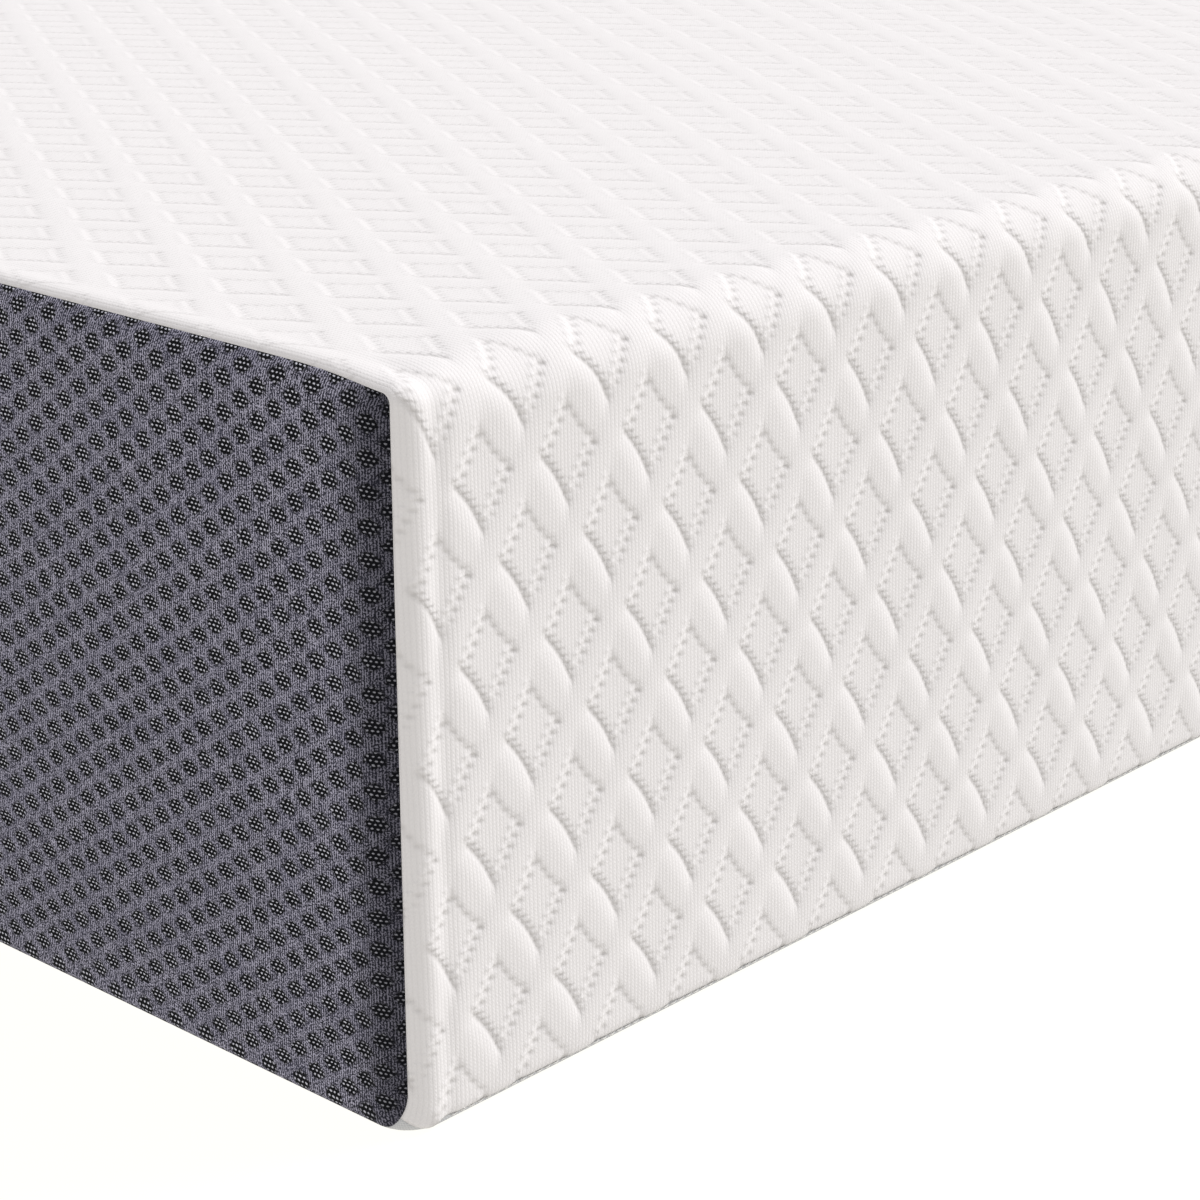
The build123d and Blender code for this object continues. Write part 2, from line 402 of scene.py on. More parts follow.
def lens_shape(a, b):
    """A "\\" strand, from 0 to 1: a chain of long swellings, steeper on their right."""
    across = np.where(a < 0.5, a, a - 1)
    right = firm_edge(b)
    left = loose_edge(b) - 1
    ridge = left + 0.54 * (right - left)
    steep = (across - ridge) / (right - ridge)
    gentle = np.clip((ridge - across) / (ridge - left), 0, None)
    right_side = 0.5 + 0.5 * np.cos(np.pi * np.clip(steep, 0, 1) ** 1.2)
    left_side = np.clip(1 - 0.60 * gentle**1.5, 0.40, 1) * (1 - ramp(gentle, 0.95, 1.30))
    dome = np.where(across > ridge, right_side, left_side)
    swell = np.sqrt(np.clip(np.sin(np.pi * b), 0, 1))
    return dome * (0.32 + 0.68 * swell)


def band_shape(b):
    """A "/" strand, from 0 to 1: a flatter rib that dips under the swellings."""
    across = np.where(b < 0.5, b, b - 1)
    reach = np.where(across > 0.03, (across - 0.03) / 0.25, (0.03 - across) / 0.22)
    return np.clip(1 - reach**2, 0, 1)


def relief(u, v):
    """How far the knit stands out from its flat ground, in millimetres."""
    s, t = lattice(u, v)
    a = fraction(s)
    b = fraction(t)
    lens = LENS_RISE * lens_shape(a, b)
    band = BAND_RISE * band_shape(b)
    firm, loose, upper, lower, nubs, rim = creases(s, t)
    body = np.sqrt(lens**2.0 + band**2.0 * 0.8) * 0.55 + np.maximum(lens, band) * 0.45
    drawn = CREASE_DEPTH * (firm + 0.7 * loose) + PIT_DEPTH * (upper + lower)
    return body - drawn + NUB_RISE * nubs + RIM_RISE * rim


def on_top(v):
    """1 where the knit lies on the top of the mattress, and 0 on its ends."""
    start = HEIGHT - ROLL_RADIUS + ROLL_RADIUS * math.pi / 2
    return window(v, start, start + 2 * (HALF_LENGTH - ROLL_RADIUS), TOP_SHOULDER)


def calm(v):
    """How much of the relief is left: the cover is drawn flatter over the top."""
    return 1.0 - TOP_CALM * on_top(v)


def unevenness(u, v, seed):
    """A gentle waviness of the stuffed cover, about 1 at its highest."""
    rng = np.random.default_rng(seed)
    total = np.zeros(np.broadcast(u, v).shape)
    for wave in range(7):
        length = 60.0 + 45.0 * wave
        angle = rng.uniform(0, math.pi)
        shift = rng.uniform(0, 2 * math.pi)
        total += np.sin((u * math.cos(angle) + v * math.sin(angle)) * 2 * math.pi / length + shift)
    return total / 5.0


# ==== meshes
def grid_faces(rows, columns):
    """Quads of a grid whose points are numbered row by row."""
    first = (np.arange(rows - 1)[:, None] * columns + np.arange(columns - 1)[None, :]).ravel()
    return np.stack([first, first + 1, first + columns + 1, first + columns], axis=1)


def mesh_object(name, points, faces, material, cloth=None):
    """A smooth mesh from points in millimetres and faces that all have as many corners."""
    corners = faces.shape[1]
    mesh = bpy.data.meshes.new(name)
    mesh.vertices.add(len(points))
    mesh.vertices.foreach_set("co", (points * MM).astype(np.float32).ravel())
    mesh.loops.add(faces.size)
    mesh.loops.foreach_set("vertex_index", faces.astype(np.int32).ravel())
    mesh.polygons.add(len(faces))
    mesh.polygons.foreach_set("loop_start", np.arange(0, faces.size, corners, dtype=np.int32))
    mesh.update(calc_edges=True)
    mesh.shade_smooth()
    if cloth is not None:
        layer = mesh.attributes.new("cloth", "FLOAT_VECTOR", "POINT")
        layer.data.foreach_set("vector", (cloth * MM).astype(np.float32).ravel())
    mesh.materials.append(material)
    piece = bpy.data.objects.new(name, mesh)
    bpy.context.scene.collection.objects.link(piece)
    return piece


def stands_for(piece, node, flat=None, held="stretched", area=None):
    """Puts a piece in place of a CAD node. For a cloth it works out its flat size, in millimetres, but
    keeps it nowhere.
    """
    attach(piece, "mattress")
    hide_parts(node)
    if flat is None:
        return
    sizes = {"flat": (flat[0] * MM, flat[1] * MM), "held": held}
    if area is not None:
        sizes["area"] = area * MM * MM


def graded(start, end, fine, coarse, reach, hold=0.0):
    """Places from start to end: fine steps for `hold`, growing to coarse ones over `reach`."""
    places = [start]
    while places[-1] < end:
        gone = places[-1] - start - hold
        share = min(max(gone / reach, 0.0), 1.0)
        places.append(places[-1] + fine + (coarse - fine) * share)
    places = np.array(places)
    return start + (places - start) * (end - start) / (places[-1] - start)


def even(start, end, step):
    """Places from start to end, all about one step apart."""
    return graded(start, end, step, step, 1)


def joined(*parts):
    """Stretches of places end to end, with each meeting place kept once."""
    return np.concatenate([part[:-1] for part in parts[:-1]] + [parts[-1]])


class Path:
    """The cloth's way round the mattress, seen from the side: y, z, the outward direction and v."""

    def __init__(self, start, v):
        self.at = np.array(start, float)
        self.v = v
        self.points = []
        self.outward = []
        self.lengths = []

    def add(self, points, outward, lengths):
        self.points.append(points)
        self.outward.append(outward)
        self.lengths.append(self.v + lengths)

    def straight(self, direction, distances):
        """Follows a flat stretch. The cloth's outside is on the left of `direction`."""
        direction = np.array(direction, float)
        left = np.array([-direction[1], direction[0]])
        self.add(self.at + np.outer(distances, direction), np.tile(left, (len(distances), 1)), distances)
        self.at = self.at + direction * distances[-1]
        self.v += distances[-1]

    def turn(self, first, second, square, radius, distances):
        """Rounds a corner inside a square of this side. `distances` run along the cloth of a full round."""
        first = np.array(first, float)
        second = np.array(second, float)
        full = distances[-1]
        lead = square - radius
        arc = radius * math.pi / 2
        gone = distances / full * (2 * lead + arc)
        angle = np.clip((gone - lead) / radius, 0, math.pi / 2)
        along = np.minimum(gone, lead) + radius * np.sin(angle)
        aside = radius * (1 - np.cos(angle)) + np.maximum(gone - lead - arc, 0)
        left = np.array([-first[1], first[0]])
        points = self.at + np.outer(along, first) + np.outer(aside, second)
        outward = np.outer(np.cos(angle), left) + np.outer(np.sin(angle), first)
        self.add(points, outward, distances)
        self.at = self.at + (first + second) * square
        self.v += full

    def curl(self, centre, radius, angles):
        """Goes round an arc about `centre`, at these angles above +y."""
        spoke = np.stack([np.cos(angles), np.sin(angles)], axis=1)
        self.add(centre + radius * spoke, spoke, np.abs(angles - angles[0]) * radius)
        self.v += abs(angles[-1] - angles[0]) * radius
        self.at = centre + radius * spoke[-1]

    def rows(self):
        return np.concatenate(self.points), np.concatenate(self.outward), np.concatenate(self.lengths)


def edge_columns(places):
    """x, drop and lean of the cloth at each u, with both side edges rounded over to their seams."""
    width = 2 * HALF_WIDTH
    inner = np.clip(places, EDGE_RADIUS, width - EDGE_RADIUS)
    lean = (places - inner) / EDGE_RADIUS
    x = inner - HALF_WIDTH + EDGE_RADIUS * np.sin(lean)
    return x, EDGE_RADIUS * (1 - np.cos(lean)), lean


def near_ends(y, reach):
    """1 at either end of the mattress, falling away over `reach`."""
    return np.exp(-(((HALF_LENGTH - np.abs(y)) / reach) ** 2))


def seam_pull(y, z, from_side):
    """How far the top is pulled up along its side seams, less how far it sinks at the very corners."""
    upper = ramp(z, HEIGHT - SEAM_PULL_DEPTH, HEIGHT)
    most = SEAM_LIFT + CORNER_LIFT * near_ends(y, CORNER_LIFT_REACH)
    lift = most * bell((from_side - SEAM_INSET) / SEAM_LIFT_REACH)
    droop = CORNER_DROOP * near_ends(y, CORNER_DROOP_REACH) * bell(from_side / CORNER_DROOP_WIDTH)
    return (lift - droop) * upper


def pressed(points):
    """Squares the round lower edges, which the mattress's weight presses outwards and down."""
    inner_x = np.clip(points[..., 0], EDGE_RADIUS - HALF_WIDTH, HALF_WIDTH - EDGE_RADIUS)
    inner_y = np.clip(points[..., 1], EDGE_RADIUS - HALF_LENGTH, HALF_LENGTH - EDGE_RADIUS)
    inner_z = np.maximum(points[..., 2], EDGE_RADIUS)
    inner = np.stack([inner_x, inner_y, inner_z], axis=-1)
    away = points - inner
    level = np.hypot(away[..., 0], away[..., 1]) + TINY
    down = -away[..., 2] + TINY
    power_sum = level**FLOOR_SQUARENESS + down**FLOOR_SQUARENESS
    stretch = np.hypot(level, down) / power_sum ** (1 / FLOOR_SQUARENESS)
    return inner + away * stretch[..., None]


def outward_of(points):
    """The direction at right angles to a grid of points, on the side that its rows turn round."""
    along = np.gradient(points, axis=0)
    across = np.gradient(points, axis=1)
    normal = np.cross(across, along)
    return normal / np.linalg.norm(normal, axis=2, keepdims=True)


def wrap(wide, tight, places):
    """Lays a panel round the mattress, on the paths it takes far from a side and at a side."""
    x, drop, lean = edge_columns(places)
    from_side = HALF_WIDTH - np.abs(x)
    held = np.exp(-(((from_side - SEAM_INSET) / TIGHT_REACH) ** 2))[None, :, None]
    far_at, far_out, v = wide.rows()
    near_at, near_out, _ = tight.rows()
    at = far_at[:, None, :] * (1 - held) + near_at[:, None, :] * held
    out = far_out[:, None, :] * (1 - held) + near_out[:, None, :] * held
    out = out / np.linalg.norm(out, axis=2, keepdims=True)
    by_zip = np.abs(at[:, :, 1] - ZIP_HEIGHT) < LIP_GAP + 4 * LIP_FOLD
    behind_lip = by_zip & (at[:, :, 0] > HALF_LENGTH - 3 * LIP_FOLD)
    at = at - np.where(behind_lip[:, :, None], (1.0, 0.0), out) * drop[None, :, None]
    y = at[:, :, 0]
    z = at[:, :, 1] + seam_pull(y, at[:, :, 1], from_side[None, :])
    points = np.stack([np.broadcast_to(x, y.shape), y, z], axis=2)
    tilt = np.cos(lean)[None, :]
    sideways = np.broadcast_to(np.sin(lean), y.shape)
    outward = np.stack([sideways, out[:, :, 0] * tilt, out[:, :, 1] * tilt], axis=2)
    u_grid, v_grid = np.meshgrid(places, v)
    return points, outward, u_grid, v_grid


def panel_object(name, points, outward, u, v, material, first, last):
    """A cloth panel from its grid of points. The ends of its rows, and its first and last rows where
    they are asked for, turn straight in by a seam allowance."""
    ends = ((int(first), int(last)), (1, 1))
    u, v = (np.pad(places, ends, mode="edge") for places in (u, v))
    points, outward = (np.pad(grid, (*ends, (0, 0)), mode="edge") for grid in (points, outward))
    added = np.pad(np.zeros(np.array(u.shape) - np.sum(ends, axis=1)), ends, constant_values=1.0)
    points = points - outward * ALLOWANCE * added[:, :, None]
    cloth = np.stack([u, v, 0 * u], axis=2).reshape(-1, 3)
    return mesh_object(name, points.reshape(-1, 3), grid_faces(*u.shape), material, cloth)


def lip_shift(points, lip_z, towards):
    """Brings the zip's lips together beyond the ends of the chain."""
    beyond = ramp(np.abs(points[:, :, 0]), CHAIN_END + 2, CHAIN_END + LIPS_CLOSE)
    return towards * LIP_GAP * beyond * (1 - ramp(np.abs(points[:, :, 2] - lip_z), *LIP_PULL))


# ==== the cover's panels
def top_paths():
    """The knit's way over the mattress, from the foot's floor seam to the zip."""
    face = even(0, HEIGHT - ROLL_RADIUS - EDGE_RADIUS, FINE_STEP)
    roll = even(0, ROLL_RADIUS * math.pi / 2, FINE_STEP)
    top_length = 2 * (HALF_LENGTH - ROLL_RADIUS)
    flat = graded(0, top_length, FINE_STEP, FAR_STEP, COARSE_REACH, FINE_HOLD)
    end_roll = even(0, ROLL_RADIUS * math.pi / 2, HEAD_STEP)
    lip_z = ZIP_HEIGHT + LIP_GAP + LIP_FOLD
    end_face = even(0, HEIGHT - ROLL_RADIUS - lip_z, HEAD_STEP)
    paths = []
    for radius in (ROLL_RADIUS, TIGHT_ROLL):
        path = Path((0, 0), SEAM_START)
        centre = np.array([-HALF_LENGTH + EDGE_RADIUS, EDGE_RADIUS])
        path.curl(centre, EDGE_RADIUS, np.linspace(math.pi + SEAM_ANGLE, math.pi, 12))
        path.straight((0, 1), face[1:])
        path.turn((0, 1), (1, 0), ROLL_RADIUS, radius, roll[1:])
        path.straight((1, 0), flat[1:])
        path.turn((1, 0), (0, -1), ROLL_RADIUS, radius, end_roll[1:])
        path.straight((0, -1), end_face[1:])
        path.curl(path.at - np.array([LIP_FOLD, 0]), LIP_FOLD, np.linspace(0, -math.pi, 8)[1:])
        path.straight((0, 1), np.array([2.0, 4.0]))
        paths.append(path)
    return paths


def across_places(fine, coarse, reach, hold):
    """u of the columns of a panel as wide as the mattress, closest together at the near side."""
    width = 2 * HALF_WIDTH
    near = np.linspace(SEAM_START, EDGE_RADIUS, 12)
    middle = graded(EDGE_RADIUS, width - EDGE_RADIUS, fine, coarse, reach, hold)
    far = np.linspace(width - EDGE_RADIUS, width - SEAM_START, 8)
    return joined(near, middle, far)


def top_panel(material):
    """The patterned knit over the top and both ends."""
    wide, tight = top_paths()
    places = across_places(FINE_STEP, FAR_STEP, COARSE_REACH, FINE_HOLD)
    points, outward, u, v = wrap(wide, tight, places)
    lip_v = wide.lengths[-3][-1]
    side = np.minimum(u, 2 * HALF_WIDTH - u) - SEAM_START
    by_side = ramp(side, *SEAM_FADE)
    by_floor = FLOOR_RELIEF + (1 - FLOOR_RELIEF) * ramp(v - SEAM_START, 0, FLOOR_FADE)
    by_zip = ramp(lip_v - v, *ZIP_FADE)
    fade = by_side * by_floor * by_zip * calm(v)
    height = relief(u, v) * fade - SURFACE_DROP * ramp(side, 0, DROP_REACH) * by_zip
    pipe = PIPE_RISE * bell((side - PIPE_PLACE) / PIPE_REACH)
    valley = VALLEY_DEPTH * bell((side - VALLEY_PLACE) / VALLEY_REACH)
    height = height + (pipe - valley) * by_zip * (1 - on_top(v))
    height = height + KNIT_WAVE * unevenness(u, v, 3) * fade
    points = points + outward * height[:, :, None]
    points[:, :, 2] += lip_shift(points, ZIP_HEIGHT + LIP_GAP, -1) * (v > lip_v - LIP_REGION[0])
    points = np.where((v < EDGE_RADIUS)[:, :, None], pressed(points), points)
    piece = panel_object("cover_top_knit", points, outward, u, v, material, True, False)
    flat = (places[-1] - places[0] + 2 * ALLOWANCE, v[-1, 0] - v[0, 0] + ALLOWANCE)
    stands_for(piece, "cover_top_panel", flat)


def rounded_outline(y, z):
    """Moves a rectangle's grid so that its four corners are rounded like the seam round a side panel."""
    for top in (False, True):
        radius = (TIGHT_ROLL if top else EDGE_RADIUS) - SEAM_INSET
        centre_y = HALF_LENGTH - SEAM_INSET - radius
        centre_z = HEIGHT - SEAM_INSET - radius if top else SEAM_INSET + radius
        a = np.clip((np.abs(y) - centre_y) / radius, 0, None)
        b = np.clip((z - centre_z) / radius * (1 if top else -1), 0, None)
        inside = (a > 0) & (b > 0)
        y = np.where(inside, np.sign(y) * (centre_y + radius * a * np.sqrt(1 - b**2 / 2)), y)
        z = np.where(inside, centre_z + (1 if top else -1) * radius * b * np.sqrt(1 - a**2 / 2), z)
    return y, z


def outline_direction(y, z):
    """The direction straight out of a side panel's outline, in y and z."""
    radius = EDGE_RADIUS - SEAM_INSET
    inner_y = np.clip(y, radius - HALF_LENGTH, HALF_LENGTH - radius)
    inner_z = np.clip(z, EDGE_RADIUS, HEIGHT - TIGHT_ROLL)
    away = np.hypot(y - inner_y, z - inner_z) + TINY
    return (y - inner_y) / away, (z - inner_z) / away


def edge_drop(y, z):
    """How far a side panel has rounded in from the mattress's widest plane."""
    from_end = HALF_LENGTH - np.abs(y)
    from_rim = np.minimum(z, HEIGHT - z)
    corner = EDGE_RADIUS - np.hypot(
        np.clip(EDGE_RADIUS - from_end, 0, None), np.clip(EDGE_RADIUS - from_rim, 0, None)
    )
    depth = np.clip(corner, SEAM_INSET, EDGE_RADIUS)
    return EDGE_RADIUS - np.sqrt(EDGE_RADIUS**2 - (EDGE_RADIUS - depth) ** 2)


def along_cloth(place, whole_length):
    """Where a point lies along the cloth, given its place between two rounded edges."""
    last = whole_length - EDGE_RADIUS
    bend = np.clip(EDGE_RADIUS - place, 0, None) - np.clip(place - last, 0, None)
    return np.clip(place, EDGE_RADIUS, last) - EDGE_RADIUS * np.arcsin(bend / EDGE_RADIUS)


def nearest(u, v, pitch_across, pitch_up):
    """How far a point is from the nearest of many spots that lie in a diamond lattice, across and up."""
    p = u / pitch_across
    q = v / pitch_up
    m = fraction(p + q + 0.5) - 0.5
    n = fraction(p - q + 0.5) - 0.5
    return (m + n) * (pitch_across / 2), (m - n) * (pitch_up / 2)


def rosette_reach(u, v):
    """0 at the middle of a rosette and 1 at its rim."""
    start_u, start_v = ROSETTE_START
    across, up = nearest(u - start_u, v - start_v, ROSETTE_ACROSS, ROSETTE_UP)
    across_part = power(size_of(across) / ROSETTE_SIZE[0], ROSETTE_POWER)
    up_part = power(size_of(up) / ROSETTE_SIZE[1], ROSETTE_POWER)
    return power(across_part + up_part, ROSETTE_ROOT)


def side_panel(name, node, sign, step, material):
    """One long side of spacer mesh, with dimples where its rosettes of holes are."""
    near = np.linspace(-HALF_LENGTH + SEAM_INSET, -HALF_LENGTH + 2 * EDGE_RADIUS, SIDE_NEAR_ROWS)
    middle = graded(near[-1], HALF_LENGTH - 2 * EDGE_RADIUS, step, SIDE_FAR_STEP, SIDE_REACH, SIDE_HOLD)
    far = np.linspace(middle[-1], HALF_LENGTH - SEAM_INSET, SIDE_FAR_ROWS)
    floor = np.linspace(SEAM_INSET, 2 * EDGE_RADIUS, SIDE_EDGE_ROWS)
    top = np.linspace(HEIGHT - 2 * EDGE_RADIUS, HEIGHT - SEAM_INSET, SIDE_EDGE_ROWS)
    upright = joined(floor, even(floor[-1], top[0], step), top)
    y, z = rounded_outline(*np.meshgrid(joined(near, middle, far), upright))
    v = along_cloth(z, HEIGHT)
    u = along_cloth(y + HALF_LENGTH, 2 * HALF_LENGTH)
    x = sign * (HALF_WIDTH - edge_drop(y, z))
    out_y, out_z = outline_direction(y, z)
    z = z + seam_pull(y, z, SEAM_INSET)
    outward = HALF_ROOT * np.stack([np.full(x.shape, sign), out_y, out_z], axis=2)
    points = np.stack([x, y, z], axis=2)
    if sign < 0:
        points, outward, u, v = (grid[:, ::-1] for grid in (points, outward, u, v))
    rim = np.minimum(np.minimum(u, 2 * HALF_LENGTH - u), np.minimum(v, HEIGHT - v)) - SEAM_INSET
    free = ramp(rim, 0, SIDE_FADE)
    dimple = -DIMPLE_DEPTH * (1 - ramp(rosette_reach(u, v), *DIMPLE_RIM))
    crown = SIDE_CROWN * (1 - (2 * v / HEIGHT - 1) ** 2) + SIDE_WAVE * unevenness(u, v, 5)
    points[:, :, 0] += sign * (dimple + crown) * free
    points = np.where((v < EDGE_RADIUS)[:, :, None], pressed(points), points)
    piece = panel_object(name, points, outward, u, v, material, True, True)
    flat = (2 * (HALF_LENGTH - SEAM_START + ALLOWANCE), HEIGHT - 2 * SEAM_START + 2 * ALLOWANCE)
    stands_for(piece, node, flat)


def base_panel(material):
    """The plain cloth underneath, with its flap up to the zip."""
    lip_z = ZIP_HEIGHT - LIP_GAP - LIP_FOLD
    paths = []
    flat = even(0, 2 * (HALF_LENGTH - EDGE_RADIUS), BASE_STEP)
    turn = even(0, EDGE_RADIUS * math.pi / 2, BASE_EDGE_STEP)
    for _ in range(2):
        path = Path((HALF_LENGTH - 2 * LIP_FOLD, lip_z - 4.0), 0)
        path.straight((0, 1), np.array([0.0, 4.0]))
        path.curl(path.at + np.array([LIP_FOLD, 0]), LIP_FOLD, np.linspace(math.pi, 0, 8)[1:])
        path.straight((0, -1), np.array([2.0, lip_z - EDGE_RADIUS]))
        path.turn((0, -1), (-1, 0), EDGE_RADIUS, EDGE_RADIUS, turn[1:])
        path.straight((-1, 0), flat[1:])
        angles = np.linspace(-math.pi / 2, -3 * math.pi / 4, 10)
        path.curl(path.at + np.array([0, EDGE_RADIUS]), EDGE_RADIUS, angles[1:])
        paths.append(path)
    places = across_places(BASE_STEP, BASE_STEP, 1, 0)
    points, outward, u, v = wrap(*paths, places)
    points[:, :, 2] += lip_shift(points, ZIP_HEIGHT - LIP_GAP, 1) * (v < LIP_REGION[1])
    points = pressed(points)
    points[:, :, 2] = np.maximum(points[:, :, 2], 0.0)
    piece = panel_object("cover_base_cloth", points, outward, u, v, material, False, True)
    flat = (places[-1] - places[0] + 2 * ALLOWANCE, v[-1, 0] - v[0, 0] + ALLOWANCE)
    stands_for(piece, "cover_base_panel", flat)


# ==== foam, sock, label, zip and thread
def spread(low, high, radius):
    """Places between two faces of a block, closer together over its rounded edges."""
    rounded = np.linspace(0, radius, 7)
    count = max(int((high - low - 2 * radius) / FOAM_SPACING), 3)
    return joined(low + rounded, np.linspace(low + radius, high - radius, count), high - radius + rounded)


def under_roll(points):
    """Keeps points inside the roll of the knit over the top of either end."""
    y, z = points[:, 1], points[:, 2]
    middle = np.array([HALF_LENGTH - ROLL_RADIUS, HEIGHT - ROLL_RADIUS])
    past = np.clip(np.stack([np.abs(y), z], axis=1) - middle, 0, None)
    most = ROLL_RADIUS - ROLL_CLEARANCE
    share = np.minimum(1, most / (np.linalg.norm(past, axis=1) + TINY))
    kept = past * share[:, None]
    beyond = (past > 0).all(axis=1)
    y = np.where(beyond, np.sign(y) * (middle[0] + kept[:, 0]), y)
    z = np.where(beyond, middle[1] + kept[:, 1], z)
    return np.stack([points[:, 0], y, z], axis=1)


def block_shape(low, high, radius, swell):
    """Points, cloth places and quads of a closed block with rounded edges and a slightly uneven face."""
    band = np.minimum(ROLL_RADIUS, (high - low) / 3)
    places = [spread(low[axis], high[axis], band[axis]) for axis in range(3)]
    points, cloth, quads = [], [], []
    count = 0
    for axis in range(3):
        second, third = (axis + 1) % 3, (axis + 2) % 3
        a, b = np.meshgrid(places[second], places[third])
        for end in (low, high):
            grid = np.zeros(a.shape + (3,))
            grid[..., axis], grid[..., second], grid[..., third] = end[axis], a, b
            around = grid_faces(*a.shape)
            quads.append(count + (around if end is high else around[:, ::-1]))
            points.append(grid.reshape(-1, 3))
            cloth.append(np.stack([a, b, 0 * a], axis=2).reshape(-1, 3))
            count += a.size
    points = np.concatenate(points)
    inner = np.clip(points, low + radius, high - radius)
    away = points - inner
    away /= np.linalg.norm(away, axis=1, keepdims=True)
    _, kept, number = np.unique(np.round(points, 3), axis=0, return_index=True, return_inverse=True)
    wave = swell * (unevenness(points[:, 0] + points[:, 2], points[:, 1] - points[:, 2], 11) - 1)
    points = under_roll(inner + away * (radius + wave)[:, None])
    return points[kept], np.concatenate(cloth)[kept], number.ravel()[np.concatenate(quads)]


def foam_layer(name, node, slot, pore, fill):
    """A block of foam, cut with soft edges."""
    low, high = box_mm(node)
    points, cloth, quads = block_shape(low, high, FOAM_EDGE, FOAM_SWELL)
    piece = mesh_object(name, points, quads, foam(slot, pore), cloth)
    stands_for(piece, node)


def inner_sock(material):
    """The thin stockinette tube closed round all the foam."""
    low, high = box_mm("inner_sock")
    skins = []
    for inset in (0.0, SOCK_THICKNESS):
        skins.append(block_shape(low + inset, high - inset, SOCK_EDGE, SOCK_SWELL))
    (outer, cloth, quads), (inner, _, _) = skins
    both = np.concatenate([quads, quads[:, ::-1] + len(outer)])
    skin = np.concatenate([outer, inner])
    piece = mesh_object("inner_sock_cloth", skin, both, material, np.tile(cloth, (2, 1)))
    width, length, height = high - low
    flat = (2 * (width + height), length + height)
    area = 2 * (width * length + width * height + length * height)
    stands_for(piece, "inner_sock", flat, area=area)


def slab_object(name, points, thickness, u, v, material):
    """A closed cloth of this thickness whose outer face is a grid of points."""
    rows, columns = points.shape[:2]
    back = points - outward_of(points) * thickness
    count = rows * columns
    front = grid_faces(rows, columns)
    number = np.arange(count).reshape(rows, columns)
    ring = np.concatenate([number[0, :-1], number[:-1, -1], number[-1, :0:-1], number[:0:-1, 0]])
    after = np.roll(ring, -1)
    rim = np.stack([after, ring, ring + count, after + count], axis=1)
    faces = np.concatenate([front, front[:, ::-1] + count, rim])
    cloth = np.stack([u, v, 0 * u], axis=2).reshape(-1, 3)
    both = np.concatenate([points.reshape(-1, 3), back.reshape(-1, 3)])
    return mesh_object(name, both, faces, material, np.tile(cloth, (2, 1)))


def zip_tape(name, node, material):
    """One woven tape of the zip, with a slight ripple between its stitches."""
    low, high = box_mm(node)
    across = np.linspace(high[0], low[0], int((high[0] - low[0]) / TAPE_SPACING))
    x, z = np.meshgrid(across, np.linspace(low[2], high[2], TAPE_ROWS))
    short, long, upright = TAPE_WAVES
    ripple = TAPE_RIPPLE * (np.sin(x / short) + np.sin(x / long + z / upright) - 2)
    y = high[1] + ripple
    thickness = high[1] - low[1] - 4 * TAPE_RIPPLE
    piece = slab_object(name, np.stack([x, y, z], axis=2), thickness, x, z, material)
    stands_for(piece, node, (high[0] - low[0], high[2] - low[2]))


def care_label(material):
    """A blank hemmed label, caught in the side seam and lying over the knit."""
    low, high = box_mm("care_label")
    width = 2 * HALF_WIDTH
    reach = HALF_WIDTH - low[0]
    places = np.linspace(SEAM_START, reach, 90)
    x, drop, lean = edge_columns(width - places)
    rows = np.linspace(low[2], high[2], 50)
    side = places - SEAM_START
    u, z = np.meshgrid(side, rows)
    wave = LABEL_WAVE * ramp(u, *LABEL_WAVY) * np.sin(z / LABEL_WAVE_LENGTH)
    lift = LABEL_LIFT * ramp(u, *LABEL_RISES) + wave
    from_hem = np.minimum(np.minimum(z - low[2], high[2] - z), side[-1] - u)
    hem = LABEL_HEM * (1 - ramp(from_hem, *HEM_EDGE))
    away = LABEL_THICKNESS + lift + hem
    x = x[None, :] + np.sin(lean)[None, :] * away
    y = HALF_LENGTH - drop[None, :] + np.cos(lean)[None, :] * away
    piece = slab_object("care_label_cloth", np.stack([x, y, z], axis=2), LABEL_THICKNESS, u, z, material)
    flat = (side[-1], high[2] - low[2])
    stands_for(piece, "care_label", flat, held="hung")


def tube_object(name, centres, outward, radii, material):
    """Round threads of yarn or wire: `centres` has one row of points for each."""
    along = np.gradient(centres, axis=1)
    along /= np.linalg.norm(along, axis=2, keepdims=True)
    side = np.cross(along, np.broadcast_to(outward, centres.shape))
    side /= np.linalg.norm(side, axis=2, keepdims=True)
    up = np.cross(side, along)
    angles = np.arange(TUBE_SIDES) * (2 * math.pi / TUBE_SIDES)
    ring = up[:, :, None] * np.cos(angles)[:, None] + side[:, :, None] * np.sin(angles)[:, None]
    points = centres[:, :, None] + ring * np.asarray(radii)[None, :, None, None]
    threads, rings = centres.shape[:2]
    starts = np.arange(threads)[:, None] * rings * TUBE_SIDES
    first = starts[:, :, None] + (np.arange(rings - 1) * TUBE_SIDES)[None, :, None]
    turn = np.arange(TUBE_SIDES)
    after = (turn + 1) % TUBE_SIDES
    ends = (first + turn, first + after, first + after + TUBE_SIDES, first + turn + TUBE_SIDES)
    walls = np.stack(ends, axis=-1)
    near = starts + np.array([[3, 2, 1, 0], [5, 4, 3, 0]])[:, None]
    far = starts + (rings - 1) * TUBE_SIDES + np.array([[0, 1, 2, 3], [0, 3, 4, 5]])[:, None]
    faces = np.concatenate([walls.reshape(-1, 4), near.reshape(-1, 4), far.reshape(-1, 4)])
    return mesh_object(name, points.reshape(-1, 3), faces, material)


